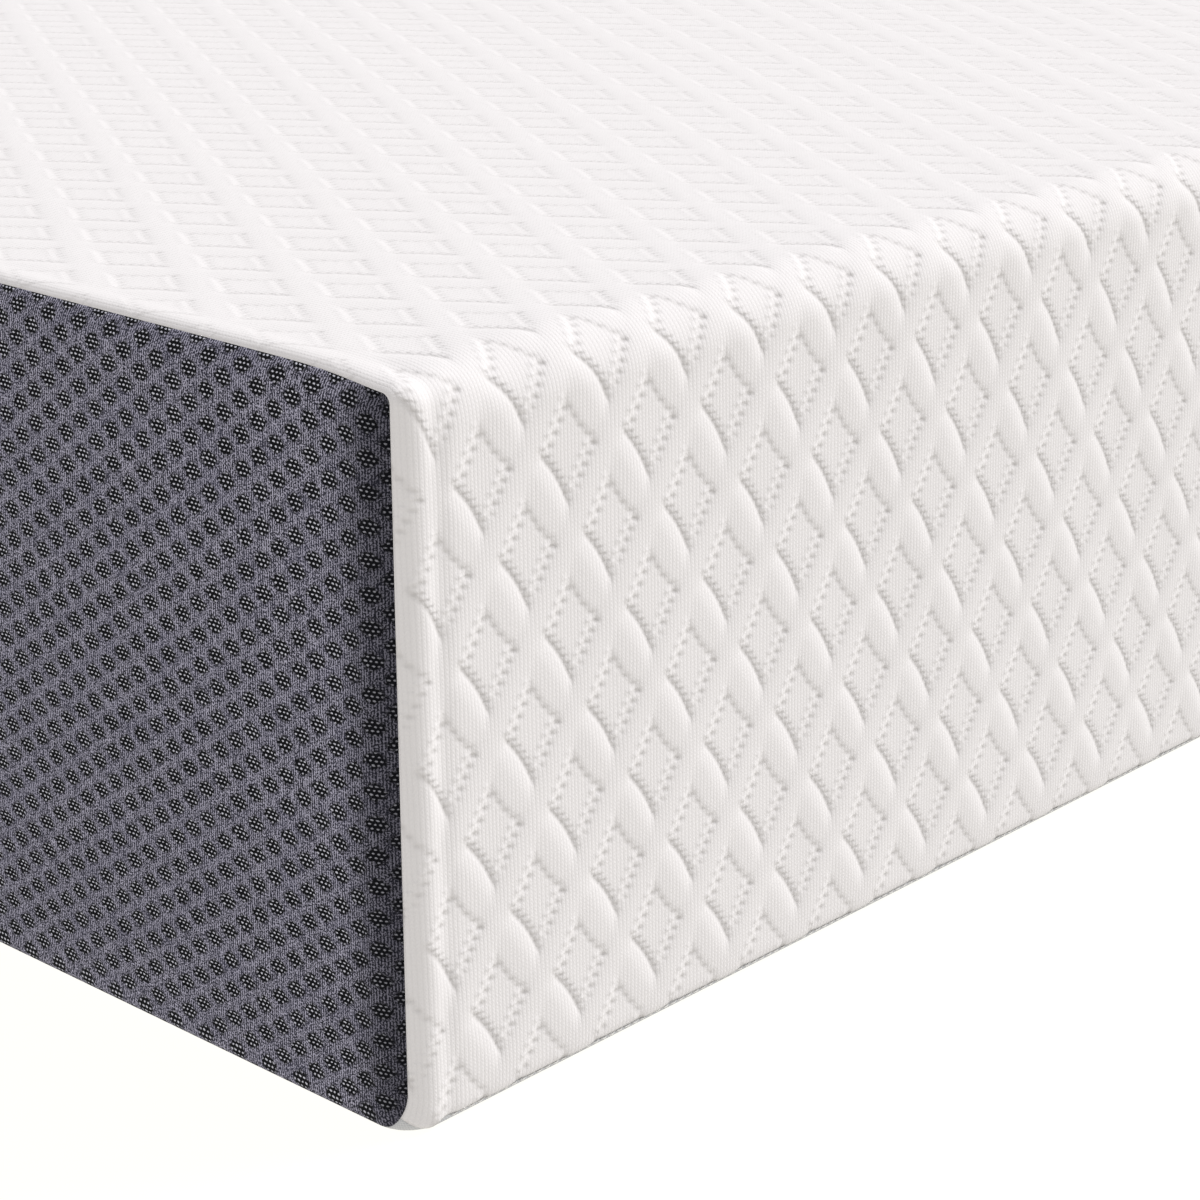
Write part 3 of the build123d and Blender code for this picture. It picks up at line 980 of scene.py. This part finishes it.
def stitch_lines(route, outward, sink):
    """Middles and outward directions of the stitches along a route of points."""
    gone = np.concatenate([[0], np.cumsum(np.linalg.norm(np.diff(route, axis=0), axis=1))])
    starts = np.arange(0.3, gone[-1] - STITCH_LENGTH, STITCH_PITCH)
    share = np.linspace(0, 1, len(STITCH_TAPER))
    places = starts[:, None] + STITCH_LENGTH * share[None, :]
    middles = np.stack([np.interp(places, gone, route[:, axis]) for axis in range(3)], axis=2)
    out = np.stack([np.interp(places, gone, outward[:, axis]) for axis in range(3)], axis=2)
    lift = STITCH_RISE * np.sin(math.pi * share) - sink
    return middles + out * lift[None, :, None], out


def stitching(node, routes, material, sink):
    """One piece of sewing thread, stitched along one route or more."""
    lines = [stitch_lines(*route, sink) for route in routes]
    middles = np.concatenate([line[0] for line in lines])
    outward = np.concatenate([line[1] for line in lines])
    radii = np.array(STITCH_TAPER) * STITCH_RADIUS
    piece = tube_object(node + "_stitches", middles, outward, radii, material)
    stands_for(piece, node)


def straight_route(x_from, x_to, y, z, outward):
    """A level run of stitching along x."""
    count = max(int(abs(x_to - x_from) / 10), 2)
    x = np.linspace(x_from, x_to, count)
    route = np.stack([x, np.full(count, y), np.full(count, z)], axis=1)
    return route, np.tile(np.array(outward, float), (count, 1))


def seam_loop(sign):
    """The seam right round a side panel."""
    end = HALF_LENGTH - SEAM_INSET
    low, high = SEAM_INSET, HEIGHT - SEAM_INSET
    long, short = LOOP_POINTS
    y_run = np.linspace(-end, end, long)
    z_run = np.linspace(low, high, short)
    y = np.concatenate([y_run, np.full(short, end), y_run[::-1], np.full(short, -end)])
    z = np.concatenate([np.full(long, low), z_run, np.full(long, high), z_run[::-1]])
    y, z = rounded_outline(y, z)
    out_y, out_z = outline_direction(y, z)
    outward = HALF_ROOT * np.stack([np.full(y.shape, sign), out_y, out_z], axis=1)
    x = np.full(y.shape, sign * (HALF_WIDTH - SEAM_INSET))
    route = np.stack([x, y, z + seam_pull(y, z, SEAM_INSET)], axis=1)
    return pressed(route), outward


def seam_stitching(material):
    """The stitches that join the cover's panels, sunk between them."""
    stitching("seam_thread_left", [seam_loop(-1)], material, SEAM_SINK)
    stitching("seam_thread_right", [seam_loop(1)], material, SEAM_SINK)
    low, high = box_mm("seam_thread_foot")
    ends = (low[0] + EDGE_RADIUS, high[0] - EDGE_RADIUS)
    down = (0, -HALF_ROOT, -HALF_ROOT)
    route, outward = straight_route(*ends, SEAM_INSET - HALF_LENGTH, SEAM_INSET, down)
    stitching("seam_thread_foot", [(pressed(route), outward)], material, SEAM_SINK)
    head_low, head_high = box_mm("seam_thread_head")
    shut = CHAIN_END + LIPS_CLOSE
    runs = [(head_low[0], -shut), (shut, head_high[0])]
    head = [straight_route(*run, HALF_LENGTH, ZIP_HEIGHT, (0, 1, 0)) for run in runs]
    stitching("seam_thread_head", head, material, LIP_SINK)
    for node in ("zip_stitch_upper", "zip_stitch_lower"):
        low, high = box_mm(node)
        row = straight_route(low[0], high[0], HALF_LENGTH, (low[2] + high[2]) / 2, (0, 1, 0))
        stitching(node, [row], material, LIP_SINK)


def zip_coil(name, node, towards, phase, material):
    """A nylon coil: a flattened helix whose turns mesh with the other coil's."""
    low, high = box_mm(node)
    turns = round((high[0] - low[0]) / COIL_PITCH)
    angle = np.linspace(0, 2 * math.pi * turns, 8 * turns + 1)
    reach_y = (high[1] - low[1]) / 2 - COIL_WIRE
    reach_z = (high[2] - low[2] + COIL_MESHING) / 2 - COIL_WIRE
    middle_z = (low[2] + high[2]) / 2 - towards * COIL_MESHING / 2
    start = low[0] + COIL_WIRE
    x = start + (high[0] - low[0] - 2 * COIL_WIRE) * angle / angle[-1]
    y = (low[1] + high[1]) / 2 + reach_y * np.sin(angle + phase)
    z = middle_z - towards * reach_z * np.cos(angle + phase)
    centres = np.stack([x, y, z], axis=1)[None]
    piece = tube_object(name, centres, np.array([1.0, 0.0, 0.0]), np.full(len(x), COIL_WIRE), material)
    stands_for(piece, node)


def finish_nodes(nodes, material):
    """Gives CAD nodes that keep their own shape a better material."""
    for node in nodes:
        for place in bpy.data.objects[node].material_slots:
            place.material = material


# ==== materials
class Paint:
    """A procedural material: a principled surface whose colour and bump come from formulas."""

    def __init__(self, name, roughness, **constants):
        self.material = bpy.data.materials.new(name)
        self.material.use_nodes = True
        self.tree = self.material.node_tree
        self.surface = self.tree.nodes["Principled BSDF"]
        self.surface.inputs["Roughness"].default_value = roughness
        for socket, value in constants.items():
            self.surface.inputs[socket.replace("_", " ")].default_value = value

    def node(self, kind, **inputs):
        node = self.tree.nodes.new(kind)
        for socket, value in inputs.items():
            plug(self.tree, value, node.inputs[socket.replace("_", " ")])
        return node

    def cloth(self):
        """u and v in millimetres, across the cloth and along it."""
        source = self.tree.nodes.new("ShaderNodeAttribute")
        source.attribute_name = "cloth"
        return self.split(source.outputs["Vector"])[:2]

    def place(self):
        """x, y and z in millimetres."""
        source = self.tree.nodes.new("ShaderNodeTexCoord")
        return self.split(source.outputs["Object"])

    def split(self, vector):
        parts = self.node("ShaderNodeSeparateXYZ", Vector=vector)
        return [Field(self.tree, parts.outputs[axis]) * (1 / MM) for axis in range(3)]

    def noise(self, x, y, z=0.0, detail=2.0, roughness=0.5):
        """Smooth noise from 0 to 1 whose grains are about one unit of x, y and z."""
        vector = self.node("ShaderNodeCombineXYZ", X=x, Y=y, Z=z)
        texture = self.node("ShaderNodeTexNoise", Vector=vector.outputs[0], Scale=1.0, Detail=detail)
        texture.inputs["Roughness"].default_value = roughness
        return Field(self.tree, texture.outputs["Fac"])

    def mix(self, share, first, second):
        """A colour between two others."""
        node = self.tree.nodes.new("ShaderNodeMix")
        node.data_type = "RGBA"
        plug(self.tree, share, node.inputs["Factor"])
        for socket, colour in zip((node.inputs[6], node.inputs[7]), (first, second)):
            plug(self.tree, (*colour, 1.0) if isinstance(colour, tuple) else colour, socket)
        return node.outputs[2]

    def finished(self, colour, height, strength=1.0):
        """The material, with this colour and with bump from a height in millimetres."""
        plug(self.tree, colour, self.surface.inputs["Base Color"])
        node = self.node("ShaderNodeBump", Strength=strength, Distance=MM)
        plug(self.tree, height, node.inputs["Height"])
        self.tree.links.new(node.outputs["Normal"], self.surface.inputs["Normal"])
        return self.material


def white_knit():
    """The padded jacquard knit: columns of V stitches, drawn in along creases and pits."""
    sheen = {"Sheen_Weight": 0.12, "Sheen_Roughness": 0.5}
    paint = Paint("white_knit", roughness=0.88, Specular_IOR_Level=0.25, **sheen)
    u, v = paint.cloth()
    s, t = lattice(u, v)
    column = (u + v * CLOTH_SKEW) / WALE
    firm, loose, upper, lower, nubs, rim = creases(s, t)
    # Painted shade in the creases and pits, kept weaker on the top; the same mask draws them in as bump
    crease_depth_and_shade = lesser(firm * 0.76 + loose * 0.52 + upper * 0.54 + lower * 0.48, 1.0) * calm(v)

    swing = sine((s + t) * 3.14159) * 0.25
    wale = fraction(column + swing)
    leg = size_of(wale - 0.5) * 2.0
    rib = sine(wale * math.pi)
    stitch = sine((v / COURSE + leg * 0.55) * (2 * math.pi))
    fuzz = paint.noise(u / 0.5, v / 0.9, detail=3.0)
    blotch = paint.noise(u / 9.0, v / 14.0)
    yarn = power(greater(rib, 0.0), 0.6) * (0.80 + 0.20 * stitch)
    height = 0.115 * yarn - 0.55 * crease_depth_and_shade + 0.28 * calm(v) * (nubs + rim) + 0.08 * fuzz

    shade = paint.mix(crease_depth_and_shade, KNIT_WHITE, KNIT_CREASE_SHADE)
    # Painted shade in the grooves between the yarn columns, plus a random blotchy tone
    gap_shade_and_blotch = (1.0 - yarn) * 0.17 + (blotch - 0.5) * 0.10
    return paint.finished(paint.mix(greater(gap_shade_and_blotch, 0.0), shade, KNIT_GAP_SHADE), height, 0.8)


def dot_reach(u, v):
    """0 at the middle of the nearest of the yarn dots that cross a rosette, and 1 at its rim."""
    across, up = nearest(u, v, DOT_ACROSS, DOT_UP)
    across = across / DOT_SIZE[0]
    up = up / DOT_SIZE[1]
    return power(across * across + up * up, 0.5)


def grey_mesh():
    """The spacer mesh: melange yarn with rosettes of small holes, crossed by lighter yarn."""
    sheen = {"Sheen_Weight": 0.02, "Sheen_Roughness": 0.5}
    paint = Paint("grey_mesh", roughness=0.9, Specular_IOR_Level=0.06, **sheen)
    u, v = paint.cloth()
    ragged = paint.noise(u / 1.1, v / 0.9, detail=1.0) - 0.5
    frayed = paint.noise(u / 0.55, v / 0.9, 4.0, detail=1.0) - 0.5
    reach = rosette_reach(u, v) + ragged * 0.9 + frayed * 0.9
    rosette = 1.0 - ramp(reach, 0.75, 1.30)
    dots = 1.0 - ramp(dot_reach(u + ragged * 0.7, v + ragged * 0.4), 0.55, 1.30)
    dots = dots * (1.0 - ramp(rosette_reach(u, v) + frayed * 0.5, 0.92, 1.25))
    # The holes are coloured near black: painted shade inside them
    holes = lesser(rosette * (1.0 - dots) * 1.6, 1.0)

    columns = ribs(u, MESH_WALE)
    speckle = paint.noise(u / 0.42, v / 0.55, detail=1.0, roughness=0.7)
    streak = paint.noise(u / 0.9, v / 5.0, 7.0)
    blotch = paint.noise(u / 12.0, v / 12.0, 3.0)
    melange = ramp(speckle + (streak - 0.5) * 0.30 + (columns - 0.5) * 0.16, 0.47, 0.57)
    tone = paint.mix(melange, MESH_DARK, MESH_LIGHT)
    tone = paint.mix((blotch - 0.35) * 0.5, tone, MESH_BLUE)
    tone = paint.mix(rosette * dots, tone, MESH_DOT)
    tone = paint.mix(holes, tone, MESH_PAINTED_SHADE)
    # Painted shade: the mesh darkens toward the seams at either end, where it rolls in
    painted_seam_shade = 1.0 - ramp(lesser(u, 2 * HALF_LENGTH - u), 4.0, 24.0)
    height = 0.16 * columns + 0.25 * melange + 0.30 * dots * rosette - 0.9 * holes
    return paint.finished(paint.mix(painted_seam_shade * 0.70, tone, MESH_PAINTED_SHADE), height, 0.7)


def plain_weave():
    """The base cloth: a tight plain weave of two yarn directions."""
    paint = Paint("base_cloth", roughness=0.85, Sheen_Weight=0.1)
    u, v = paint.cloth()
    over = sine(u * (2 * math.pi / BASE_PITCH)) * sine(v * (2 * math.pi / BASE_PITCH))
    uneven = paint.noise(u / (3 * BASE_PITCH), v / (9 * BASE_PITCH))
    height = 0.5 + 0.5 * over
    share = greater(height * 0.5 + (uneven - 0.5) * 0.5, 0.0)
    return paint.finished(paint.mix(share, *BASE_YARN), 0.12 * height + 0.10 * uneven)


def stockinette():
    """The sock's thin knit: narrow ribs with a fuzzy face."""
    paint = Paint("inner_sock", roughness=0.9, Sheen_Weight=0.15)
    u, v = paint.cloth()
    rib = ribs(u, SOCK_RIB)
    loop = sine(v * (2 * math.pi / SOCK_LOOP) + rib * 2.0) * 0.5 + 0.5
    fuzz = paint.noise(u / 0.6, v / 0.8, detail=3.0)
    share = greater(rib * 0.6 + loop * 0.2 + (fuzz - 0.5) * 0.5, 0.0)
    return paint.finished(paint.mix(share, *SOCK_YARN), 0.18 * rib + 0.08 * loop + 0.10 * fuzz)


def foam(name, pore):
    """Cut foam: small open pores of this size, with a soft mottle."""
    dark, light = FOAM_CELLS[name]
    paint = Paint(name, roughness=0.95)
    x, y, z = paint.place()
    pores = paint.noise(x / pore, y / pore, z / pore, detail=3.0, roughness=0.65)
    mottle = paint.noise(x / 40, y / 40, z / 40)
    open_pores = ramp(pores, 0.42, 0.60)
    shade = paint.mix(open_pores, dark, light)
    colour = paint.mix((mottle - 0.4) * 0.4, shade, dark)
    return paint.finished(colour, 0.35 * open_pores + 0.1 * pores)


def sewing_thread():
    """Spun polyester thread: two plies twisted together."""
    paint = Paint("thread", roughness=0.7, Sheen_Weight=0.1)
    x, y, z = paint.place()
    twist = ribs(x + y + z * 1.3, THREAD_TWIST)
    fibre = paint.noise(x / 0.12, y / 0.12, z / 0.12, detail=2.0)
    colour = paint.mix(twist * 0.7 + fibre * 0.3, *THREAD_YARN)
    return paint.finished(colour, 0.08 * twist + 0.05 * fibre)


def twill_tape():
    """The zip's tape: a herringbone twill with a firmer edge."""
    paint = Paint("zip_tape", roughness=0.85, Sheen_Weight=0.1)
    u, v = paint.cloth()
    leaning = size_of(fraction(v / TWILL_BAND) - 0.5) * TWILL_BAND
    rib = ribs(u + leaning * 1.6, TWILL_PITCH)
    yarn = paint.noise(u / 0.5, v / 0.3, detail=2.0)
    colour = paint.mix(rib * 0.75 + (yarn - 0.3) * 0.4, *TAPE_YARN)
    return paint.finished(colour, 0.14 * rib + 0.06 * yarn)


def nylon():
    """The zip's moulded coils: smooth, slightly milky nylon."""
    paint = Paint("zip_coil", roughness=0.34)
    x, y, z = paint.place()
    cloud = paint.noise(x / 1.5, y / 1.5, z / 1.5)
    return paint.finished(paint.mix(cloud * 0.6, *NYLON_CLOUD), 0.03 * cloud)


def painted_zinc():
    """The slider, its pull and the stops: cast zinc under light paint, worn a little in patches."""
    paint = Paint("zip_metal", roughness=0.36, Coat_Weight=0.25, Coat_Roughness=0.2)
    x, y, z = paint.place()
    orange_peel = paint.noise(x / 0.5, y / 0.5, z / 0.5, detail=2.0)
    rubbed = ramp(paint.noise(x / 1.6, y / 1.6, z / 1.6, detail=4.0, roughness=0.7), 0.60, 0.72)
    plug(paint.tree, rubbed * 0.6, paint.surface.inputs["Metallic"])
    colour = paint.mix(rubbed * 0.7, ZINC_PAINT, ZINC_BARE)
    return paint.finished(colour, 0.02 * orange_peel - 0.02 * rubbed)


def label_satin():
    """The label's woven satin, with its hem pressed in."""
    paint = Paint("label", roughness=0.5, Sheen_Weight=0.2)
    u, v = paint.cloth()
    weft = ribs(v, LABEL_WEFT)
    warp = sine(u * (2 * math.pi / LABEL_WARP) + weft) * 0.5 + 0.5
    soft = paint.noise(u / 7.0, v / 7.0)
    colour = paint.mix(weft * 0.5 + soft * 0.5, *LABEL_YARN)
    return paint.finished(colour, 0.03 * weft + 0.02 * warp + 0.1 * soft)


# ==== floor, light and camera
def studio():
    """A plain white floor, even white light all round and one broad soft light from the right."""
    scene = bpy.context.scene
    scene.view_settings.view_transform = "Standard"
    world = bpy.data.worlds.new("studio")
    world.use_nodes = True
    world.node_tree.nodes["Background"].inputs["Color"].default_value = (1.0, 1.0, 1.0, 1.0)
    world.node_tree.nodes["Background"].inputs["Strength"].default_value = WORLD_STRENGTH
    scene.world = world

    mesh = bpy.data.meshes.new("floor")
    corners = [(x * FLOOR_REACH, y * FLOOR_REACH, 0) for x, y in ((-1, -1), (1, -1), (1, 1), (-1, 1))]
    mesh.from_pydata(corners, [], [(0, 1, 2, 3)])
    floor = bpy.data.objects.new("floor", mesh)
    floor.location.z = -FLOOR_DROP
    scene.collection.objects.link(floor)
    glow = {"Emission_Color": FLOOR_TINT, "Emission_Strength": FLOOR_GLOW}
    mesh.materials.append(Paint("floor_white", roughness=1.0, Base_Color=FLOOR_GREY, **glow).material)

    lamp = bpy.data.lights.new("key", "SUN")
    lamp.angle = KEY_SPREAD
    lamp.energy = KEY_STRENGTH
    key = bpy.data.objects.new("key", lamp)
    key.rotation_euler = Vector(KEY_DIRECTION).to_track_quat("Z", "Y").to_euler()
    scene.collection.objects.link(key)


def camera():
    """A camera that sees the mattress as the photograph does."""
    data = bpy.data.cameras.new("camera")
    data.lens = CAMERA_LENS
    data.sensor_width = SENSOR
    data.clip_start = 0.01
    data.clip_end = 100.0
    look = Vector((
        math.sin(CAMERA_YAW) * math.cos(CAMERA_PITCH),
        math.cos(CAMERA_YAW) * math.cos(CAMERA_PITCH),
        -math.sin(CAMERA_PITCH),
    ))
    right = Vector((math.cos(CAMERA_YAW), -math.sin(CAMERA_YAW), 0.0))
    up = right.cross(look)
    level = math.cos(CAMERA_ROLL) * right + math.sin(CAMERA_ROLL) * up
    over = math.cos(CAMERA_ROLL) * up - math.sin(CAMERA_ROLL) * right
    place = Vector((NEAR_X * MM, NEAR_Y * MM, 0.0)) + Vector(CAMERA_OFFSET)
    eye = bpy.data.objects.new("camera", data)
    eye.matrix_world = Matrix.Translation(place) @ Matrix((level, over, -look)).transposed().to_4x4()
    bpy.context.scene.collection.objects.link(eye)
    bpy.context.scene.camera = eye


studio()
camera()
KNIT = white_knit()
MESH = grey_mesh()
top_panel(KNIT)
for side, sign in (("left", -1), ("right", 1)):
    side_panel("cover_side_mesh_" + side, "cover_side_" + side, sign, SIDE_STEP[side], MESH)
base_panel(plain_weave())
for facts in FOAMS:
    foam_layer(*facts)
inner_sock(stockinette())
THREAD = sewing_thread()
seam_stitching(THREAD)
TAPE = twill_tape()
for tape in ("zip_tape_upper", "zip_tape_lower"):
    zip_tape(tape + "_cloth", tape, TAPE)
NYLON = nylon()
zip_coil("zip_coil_upper_wire", "zip_coil_upper", 1, 0.0, NYLON)
zip_coil("zip_coil_lower_wire", "zip_coil_lower", -1, math.pi, NYLON)
finish_nodes(("zip_top_stops", "zip_bottom_stop", "zip_slider", "zip_pull"), painted_zinc())
care_label(label_satin())
